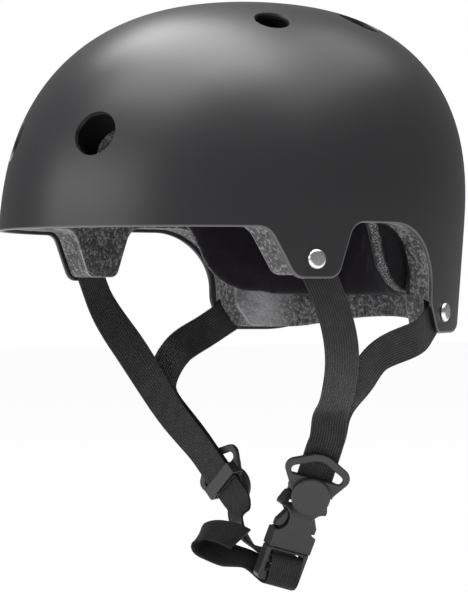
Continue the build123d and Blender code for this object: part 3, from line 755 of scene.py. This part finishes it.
# clamped cubic through the places, by chord length: each point, its span and its share of that span
def smoothLine(places, step):
    n = len(places)
    t = [0.0]
    for a, b in zip(places, places[1:]):
        t.append(t[-1] + (b - a).length)
    h = [b - a for a, b in zip(t, t[1:])]
    lower, middle, upper, right = [0] * n, [1] * n, [0] * n, [None] * n
    right[0] = (places[1] - places[0]).normalized()
    right[-1] = (places[-1] - places[-2]).normalized()
    for i in range(1, n - 1):
        lower[i], middle[i], upper[i] = h[i], 2 * (h[i - 1] + h[i]), h[i - 1]
        right[i] = ((places[i + 1] - places[i]) * (h[i - 1] / h[i])
                    + (places[i] - places[i - 1]) * (h[i] / h[i - 1])) * 3
    for i in range(1, n):
        w = lower[i] / middle[i - 1]
        middle[i] -= w * upper[i - 1]
        right[i] = right[i] - right[i - 1] * w
    tangents = [None] * n
    tangents[-1] = right[-1] / middle[-1]
    for i in range(n - 2, -1, -1):
        tangents[i] = (right[i] - tangents[i + 1] * upper[i]) / middle[i]
    line = []
    steps = max(4, round(t[-1] / step))
    for k in range(steps + 1):
        d = t[-1] * k / steps
        i = max(j for j in range(n - 1) if t[j] <= d + 1e-9)
        s = (d - t[i]) / h[i]
        a, b, c, e = 2 * s**3 - 3 * s**2 + 1, s**3 - 2 * s**2 + s, -2 * s**3 + 3 * s**2, s**3 - s**2
        spot = places[i] * a + tangents[i] * h[i] * b + places[i + 1] * c + tangents[i + 1] * h[i] * e
        line.append((spot, i, s))
    return line


def webbingSection():
    half, thick = webbing["width"] / 2, webbing["thickness"] / 2
    front = [(v * half, thick * (webbing["middleShare"] if abs(v) < webbing["selvedge"] else 1))
             for v in webbing["acrossShares"]]
    front += [(half * x, thick * y) for x, y in webbing["edgeShares"]]
    return front + [(-x, -y) for x, y in front]


def ribbon(name, stations, step, holes=()):
    line = smoothLine([place for place, normal in stations], step)
    section, half, unit = webbingSection(), webbing["width"] / 2, webbing["weaveUnit"]
    mesh = bmesh.new()
    layer = mesh.loops.layers.uv.new("weave")
    rings, lengths, travelled = [], [], 0.0
    last, count = len(line) - 1, len(section)
    for k, (spot, i, s) in enumerate(line):
        ahead = (line[min(k + 1, last)][0] - line[max(k - 1, 0)][0]).normalized()
        normal = stations[i][1] * (1 - s) + stations[i + 1][1] * s
        across = ahead.cross(normal).normalized()
        face = across.cross(ahead).normalized()
        if k:
            travelled += (spot - line[k - 1][0]).length
        lengths.append(travelled)
        rings.append([mesh.verts.new((spot + across * x + face * y) * mm) for x, y in section])
    for k in range(last):
        for i in range(count):
            j = (i + 1) % count
            f = mesh.faces.new((rings[k][i], rings[k][j], rings[k + 1][j], rings[k + 1][i]))
            for loop, (row, col) in zip(f.loops, ((k, i), (k, j), (k + 1, j), (k + 1, i))):
                loop[layer].uv = (lengths[row] / unit, (section[col][0] + half) / unit)
    for row in (0, last):
        for loop in mesh.faces.new(rings[row]).loops:
            loop[layer].uv = (lengths[row] / unit, 0.5)
    bmesh.ops.recalc_face_normals(mesh, faces=mesh.faces)
    made = keepMesh(name, mesh)
    if holes:
        cutAway(made, holes)
    dress(made, finishes["webbing"], webbing["smoothAngle"])
    return made


def rivetHole(which, side):
    place, out = rivetFrame(which, side)
    radius, deep = webbing["rivetHole"], webbing["rivetHoleDepth"]
    profile = [(radius, -deep), (radius, deep)]
    return lathe("rivetHoleTool", profile, place, out, webbing["rivetHoleSteps"])


# the strap with layer 0 runs next to its divider's plate
for hand, side, layers in (("left", 1, {"front": 0, "rear": 1}), ("right", -1, {"front": 1, "rear": 0})):
    for which, layer in layers.items():
        strap = ribbon(which + "Webbing" + hand.capitalize(), strapStations(which, hand, layer),
                       webbing["step"], [rivetHole(which, side)])
        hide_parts(which + "_strap_" + hand)
        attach(strap, "helmet")


def socketStrapStations():
    mouth, _, up, out = buckleFrame()
    bar = buckle["length"] - buckle["bar"]
    beside = buckle["neck"] / 2 + dividers["gap"] + webbing["thickness"] / 2
    slot = bar - dividers["gap"] - webbing["thickness"] / 2
    # rise and depth of the place, then of the way the face looks
    points = [(buckle["length"] + buckle["bar"] / 2, beside, 0, 1), (bar, beside, -0.3, 1),
              (slot, beside * 0.7, -1, 1), (slot - dividers["gap"], 0, -1, 0),
              (slot, -beside * 0.7, -1, -1), (bar, -beside, -0.3, -1),
              (buckle["length"] + buckle["bar"] * 3, -beside, 0, -1)]
    return [(mouth + up * r + out * o, up * rn + out * on) for r, o, rn, on in points]


# the photographed base is shorter than the solid, with its first slot close under the socket
def plugRise(rise):
    if rise >= 0:
        return rise
    top, long = buckle["firstSlot"], buckle["cadLength"]
    if rise > -top:
        return rise * buckle["topBar"] / top
    return -buckle["topBar"] + (rise + top) * (buckle["plugLength"] - buckle["topBar"]) / (long - top)


def upperSlot():
    return plugRise(-buckle["firstSlot"] - buckle["slot"] / 2)


def chinStations():
    place, face, up = dividerFrame("right")
    mouth, _, axis, out = buckleFrame()
    start = place - face * (layerDepth(0) + layerDepth(1)) / 2
    stations = [(start - up * length, face) for length in webbing["chinLengths"]]
    for i, spot in enumerate(routes["chin"]):
        share = (i + 1) / (len(routes["chin"]) + 1)
        stations.append((Vector(spot), face * (1 - share) + axis * share))
    slot = mouth + axis * upperSlot()
    for depth in (buckle["plug"], buckle["plug"] / 2, dividers["gap"] / 2):
        stations.append((slot - out * depth, axis))
    return stations


def tailStations():
    mouth, across, up, out = buckleFrame()
    upper, face, gap = upperSlot(), buckle["plug"] / 2, dividers["gap"]
    over, foot = face + gap + webbing["thickness"] / 2 + 0.3, -buckle["plugLength"]
    # rise, depth and shift across of the place, then rise and depth of the way the face looks:
    # out of the upper slot, down the plug's front and round its foot
    points = [(upper, gap / 2, 0, 1, 0), (upper - gap, face * 0.9, 0, 1, 0.3),
              (upper - 1.9, over - 0.2, 0.3, 0.5, 1), (-10, over, 0.9, 0, 1), (-14.5, over, 1.7, 0, 1),
              (foot + 1, over - 0.4, 2.3, -0.3, 1), (foot - 1.6, face * 0.7, 2.6, -0.8, 0.6),
              (foot - 2, -1, 2.2, -1, 0), (foot - 1, -5, 0.5, -1, -0.25)]
    stations = [(mouth + up * r + out * o + across * s, up * rn + out * on) for r, o, s, rn, on in points]
    return stations + [(Vector(place), Vector(normal)) for place, normal in routes["tail"]]


socketStrap = ribbon("socketWebbing", socketStrapStations(), webbing["foldStep"])
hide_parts("chin_strap_left")
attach(socketStrap, "helmet")
tail = ribbon("webbingTail", tailStations(), webbing["tailStep"])
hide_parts("strap_tail")
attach(tail, "plug")
chin = ribbon("chinWebbing", chinStations(), webbing["chinStep"])
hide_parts("chin_strap_right")
tuple(chinStations()[-2][0] * mm)
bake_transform(chin)
print("webbing is laid")

# channels in the foam for the straps, and the foam rim's rounded edges, where a highlight is painted
channel = {"above": 12, "floor": 5.6, "length": 76, "halfWidth": 11.5, "height": 40}
foamEdgeHighlight = {"below": 14, "outerDepth": 0.85, "outerReach": 0.85, "innerDepth": 0.9, "innerReach": 0.7}


def channelTool(which, side):
    place, out = rivetFrame(which, side)
    run = strapRun(which, out)
    across = out.cross(run)
    floor = place - run * channel["above"] - out * (wall["shell"] + channel["floor"])
    long, half = channel["length"], channel["halfWidth"]
    mesh = bmesh.new()
    corners = []
    for h in (0, channel["height"]):
        for l, w in ((0, -half), (long, -half), (long, half), (0, half)):
            corners.append(mesh.verts.new((floor + run * l + across * w + out * h) * mm))
    for f in ((0, 1, 2, 3), (4, 5, 6, 7), (0, 1, 5, 4), (1, 2, 6, 5), (2, 3, 7, 6), (3, 0, 4, 7)):
        mesh.faces.new([corners[i] for i in f])
    bmesh.ops.recalc_face_normals(mesh, faces=mesh.faces)
    return keepMesh("channelTool", mesh)


outerInset = wall["shell"] + wall["linerGap"]
liner = curvedWall("linerFoam", wall["linerSetback"], (outerInset, outerInset),
                   (wall["linerSide"], wall["linerCrown"]), wall["linerRound"], wall["linerFaceRings"])
tools = ventCutters("linerVentTool", False)
for side in (1, -1):
    for which in ("front", "rear"):
        tools.append(channelTool(which, side))
cutAway(liner, tools)
dress(liner, finishes["foam"], wall["linerAngle"])
liner.data.materials.append(finishes["ventFoam"])


def inVent(point, frames):
    for radius, place, axis in frames:
        reach = point / mm - place
        deep = reach.dot(axis)
        if (reach - axis * deep).length < radius + vents["shadeSpare"] and vents["shadeDepth"] < deep < 0:
            return True
    return False


# 1 along the rounded edges of the liner's rim, where a highlight is painted, and 0 elsewhere
def edgeShare(point):
    x, y, z = point / mm
    if z > foamEdgeHighlight["below"]:
        return 0
    reach = math.hypot(x / (dome["halfWidth"] - outerInset),
                       (y - dome["lean"] * z) / (dome["halfLength"] - outerInset))
    depth = (1 - reach) * dome["halfWidth"]
    inner = wall["linerSide"] - outerInset - depth
    return max(0, 1 - abs(depth - foamEdgeHighlight["outerDepth"]) / foamEdgeHighlight["outerReach"],
               1 - abs(inner - foamEdgeHighlight["innerDepth"]) / foamEdgeHighlight["innerReach"])


# the rounded rim edges that get the painted highlight are kept in the attribute "edge"
edges = liner.data.attributes.new("edge", "FLOAT", "POINT")
for v in liner.data.vertices:
    edges.data[v.index].value = edgeShare(v.co)
tunnels = ventFrames()
for face in liner.data.polygons:
    if inVent(face.center, tunnels):
        face.material_index = 1
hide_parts("foam_liner")
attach(liner, "helmet")
print("liner is formed")

pads = {
    "names": ("brow_pad", "temple_pad_left", "temple_pad_right", "nape_pad", "crown_pad"),
    "weld": 0.01 * mm, "voxel": 3.4 * mm, "softenBy": 0.5, "softenRounds": 4, "smoothAngle": 60,
    "pressure": 4, "quality": 4, "frames": 16, "cap": 2.5 * mm, "clearance": 0.35,
}
napeEnds = {
    # each slanted end leans a little further under its ear arch
    "from": (17, 3), "to": (64, -38), "behind": 92, "fade": 25, "side": 40, "reach": 20, "taper": 0.75,
    "lean": (0, -0.85, -0.4), "leftLean": 8.5, "rightLean": 4.5,
    # the cover stops short of the slanted ends, and the foam shows there
    "bareBearing": 48, "bareFace": (0, -0.75, -0.66), "bareFrom": 0.3, "bareSteep": 4,
    "bareInner": -0.35, "bareInnerSteep": 5,
}


def clamped(value):
    return max(0, min(1, value))


def keepInside(point):                                # nothing swells into the foam
    p = point / mm
    height, halfWidth = dome["height"] - wall["linerCrown"], dome["halfWidth"] - wall["linerSide"]
    x, y = p.x / halfWidth, (p.y - dome["lean"] * p.z) / (dome["halfLength"] - wall["linerSide"])
    reach = math.hypot(x, y)
    limit = spreadAt(min(p.z, height * 0.999), height) - pads["clearance"] / halfWidth
    if reach > limit > 0:
        scale = limit / reach
        p.x, p.y = p.x * scale, (p.y - dome["lean"] * p.z) * scale + dome["lean"] * p.z
    return p * mm


def slantForward(p):
    if p.y > napeEnds["behind"] or abs(p.x) < napeEnds["side"]:
        return p
    start, end = Vector(napeEnds["from"]), Vector(napeEnds["to"])
    run = (end - start).normalized()
    reach = Vector((p.y, p.z)) - start
    above = reach.dot(Vector((-run.y, run.x)))
    share = max(0, 1 - max(0, above) / napeEnds["reach"])
    share *= clamped((napeEnds["behind"] - p.y) / napeEnds["fade"])
    along = clamped(reach.dot(run) / (end - start).length)
    far = napeEnds["leftLean"] if p.x > 0 else napeEnds["rightLean"]
    return p + Vector(napeEnds["lean"]) * far * share * (1 - napeEnds["taper"] * along)


def bareShare(point, normal):
    turn = math.degrees(bearingOf(point))
    if min(abs(turn), abs(180 - turn)) > napeEnds["bareBearing"]:
        return 0
    out = Vector((math.cos(math.radians(turn)), math.sin(math.radians(turn)), 0))
    slanted = (normal.dot(Vector(napeEnds["bareFace"])) - napeEnds["bareFrom"]) * napeEnds["bareSteep"]
    outward = (normal.dot(out) - napeEnds["bareInner"]) * napeEnds["bareInnerSteep"]
    return clamped(slanted) * clamped(outward)


# a CAD node's triangles are loose, so its copy is merged before anything else is done to it
def mergedCopy(node, ending, weld, moved=None):
    piece = bpy.data.objects.new(node.replace("_", "") + ending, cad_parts[node].data.copy())
    scene.collection.objects.link(piece)
    mesh = bmesh.new()
    mesh.from_mesh(piece.data)
    bmesh.ops.remove_doubles(mesh, verts=mesh.verts, dist=weld)
    if moved:
        for v in mesh.verts:
            v.co = moved(v.co)
    mesh.to_mesh(piece.data)
    mesh.free()
    return piece


def swell(piece):
    pickOnly(piece)
    cloth = piece.modifiers.new("swell", "CLOTH")
    cloth.settings.use_pressure = True
    cloth.settings.uniform_pressure_force = pads["pressure"]
    cloth.settings.effector_weights.gravity = 0
    cloth.settings.quality = pads["quality"]
    for f in range(1, pads["frames"] + 1):
        scene.frame_set(f)
    bpy.ops.object.modifier_apply(modifier=cloth.name)
    scene.frame_set(1)


def cushion(node):
    piece = mergedCopy(node, "Cushion", pads["weld"])
    shapeWith(piece, "REMESH", mode="VOXEL", voxel_size=pads["voxel"])
    shapeWith(piece, "SMOOTH", factor=pads["softenBy"], iterations=pads["softenRounds"])
    before = [v.co.copy() for v in piece.data.vertices]
    swell(piece)
    for v, start in zip(piece.data.vertices, before):
        moved = v.co - start
        if moved.length > pads["cap"]:
            moved *= pads["cap"] / moved.length
        v.co = keepInside(start + moved)
    shapeWith(piece, "SUBSURF", levels=1, render_levels=1)
    for v in piece.data.vertices:
        if node == "nape_pad":
            v.co = slantForward(v.co / mm) * mm
        v.co = keepInside(v.co)
    bare = piece.data.attributes.new("bare", "FLOAT", "POINT")
    if node == "nape_pad":
        piece.data.update()
        for v in piece.data.vertices:
            bare.data[v.index].value = bareShare(v.co / mm, v.normal)
    dress(piece, finishes["pad"], pads["smoothAngle"])
    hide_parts(node)
    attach(piece, "helmet")


for node in pads["names"]:
    cushion(node)
    print("cushion made:", node)

hardPieces = {
    # node: (finish, body, edge round in mm, slot)
    "divider_left": ("divider", "divider_left", 0.9, "divider_plastic"),
    "divider_right": ("divider", "divider_right", 0.9, "divider_plastic"),
    "divider_cap_left": ("cap", "divider_left", 0.0, "cap_plastic"),
    "divider_cap_right": ("cap", "divider_right", 0.0, "cap_plastic"),
    "buckle_socket": ("buckle", "helmet", 0.9, "buckle_plastic"),
    "buckle_plug": ("buckle", "plug", 0.9, "buckle_plastic"),
    "prong_front": ("buckle", "prong_front", 0.4, "buckle_plastic"),
    "prong_rear": ("buckle", "prong_rear", 0.4, "buckle_plastic"),
    "strap_rivets": ("rivet", "helmet", 0.0, "rivet_metal"),
    "rivet_washers": ("washer", "helmet", 0.0, "washer_steel"),
    "pad_hook_dots": ("hook", "helmet", 0.0, "hook_tape"),
}
moulding = {
    "weld": 0.002 * mm, "voxel": 0.34 * mm, "softenBy": 0.5, "roundsPerMm": 18,
    "softAngle": 80, "crispAngle": 38,
}


def shortenPlug(point):
    mouth, _, up, _ = buckleFrame()
    rise = (point / mm - mouth).dot(up)
    return point + up * (plugRise(rise) - rise) * mm


def softenedCopy(node, finish, body, edge):
    piece = mergedCopy(node, "Part", moulding["weld"], shortenPlug if node == "buckle_plug" else None)
    if edge:
        rounds = round(moulding["roundsPerMm"] * edge)
        shapeWith(piece, "REMESH", mode="VOXEL", voxel_size=moulding["voxel"])
        shapeWith(piece, "SMOOTH", factor=moulding["softenBy"], iterations=rounds)
    dress(piece, finishes[finish], moulding["softAngle"] if edge else moulding["crispAngle"])
    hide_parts(node)
    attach(piece, body)


for node, (finish, body, edge, slot) in hardPieces.items():
    softenedCopy(node, finish, body, edge)
print("hard pieces are finished")


# pale floor that the camera sees as white, with a trace of the object's shadow
def plainGround():
    bpy.ops.mesh.primitive_plane_add(size=studio["floorSize"], location=(0, 0, studio["floorHeight"]))
    floor = bpy.context.object
    floor.name = "studioFloor"
    b = Board("whiteGround")
    b.finish(**studio["floor"])
    seen = b.node("ShaderNodeLightPath", out="Is Camera Ray")
    glow = b.node("ShaderNodeEmission", {}, {0: (1, 1, 1), 1: 1})
    both = b.node("ShaderNodeMixShader", {}, {
        0: seen * studio["floorGlow"], 1: Wire(b, b.shader.outputs[0]), 2: glow})
    b.put(b.tree.nodes["Material Output"].inputs[0], both)
    floor.data.materials.append(b.owner)
    floor.select_set(False)


# white to the camera, and a weak fill to everything else
def paleWorld():
    b = Board("paleWorld", "worlds", "Background")
    scene.world = b.owner
    b.put(b.shader.inputs[0], (1, 1, 1))
    b.put(b.shader.inputs[1], studio["fill"])
    seen = b.node("ShaderNodeLightPath", out="Is Camera Ray")
    white = b.node("ShaderNodeBackground", {}, {0: (1, 1, 1), 1: 1})
    both = b.node("ShaderNodeMixShader", {}, {0: seen, 1: Wire(b, b.shader.outputs[0]), 2: white})
    b.put(b.tree.nodes["World Output"].inputs[0], both)


plainGround()
paleWorld()
scene.view_settings.view_transform = "Standard"
print("background is white")
